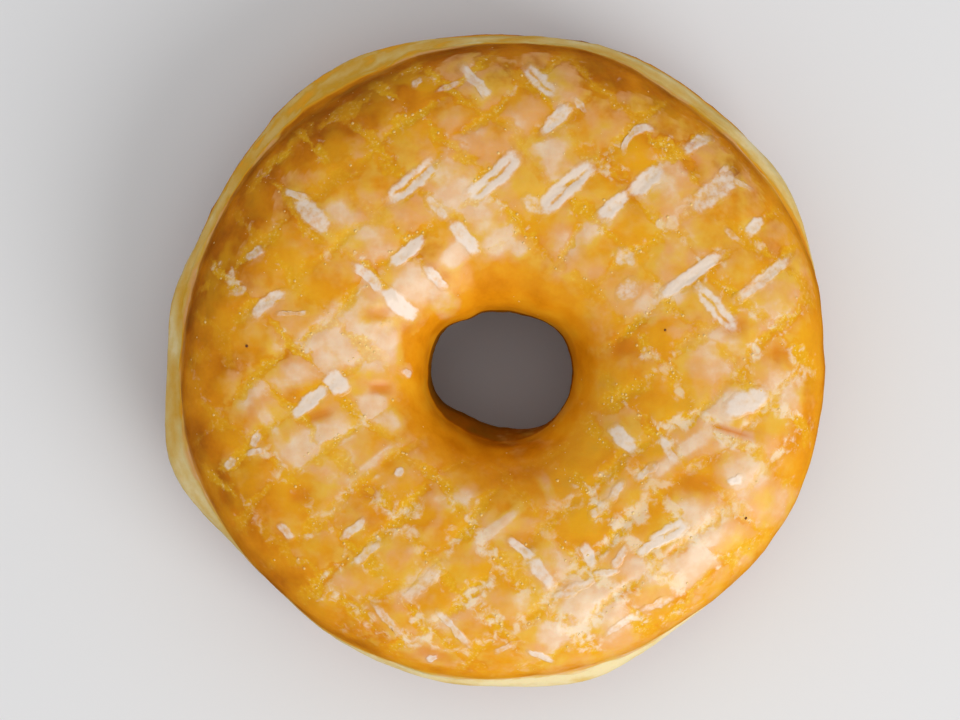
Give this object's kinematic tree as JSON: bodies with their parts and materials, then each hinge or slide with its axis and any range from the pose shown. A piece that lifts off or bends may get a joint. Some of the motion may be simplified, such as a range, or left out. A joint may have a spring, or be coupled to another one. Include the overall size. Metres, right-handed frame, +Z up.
{
  "type": "yeast raised doughnut",
  "caption": "Round raised ring doughnut with a domed glazed top, a pale belt round its side and an off-centre hole, resting on a flattened underside.",
  "frame": {"origin": "middle of the underside's bounding box, on the surface that the doughnut rests on", "axes": "+Z up through the hole, the shortest way across; -Y is the lower edge of the shown view from above, +X its right"},
  "size_m": [0.1042, 0.1034, 0.0346],
  "materials": {
    "fried_crust": "golden brown fried crust, satin",
    "sugar_glaze": "thin set sugar glaze, glossy, amber where the crust shows through",
    "dried_sugar": "white crystallised sugar, satin"
  },
  "bodies": {
    "root": {"doughnut": "fried_crust"}
  },
  "joints": []
}
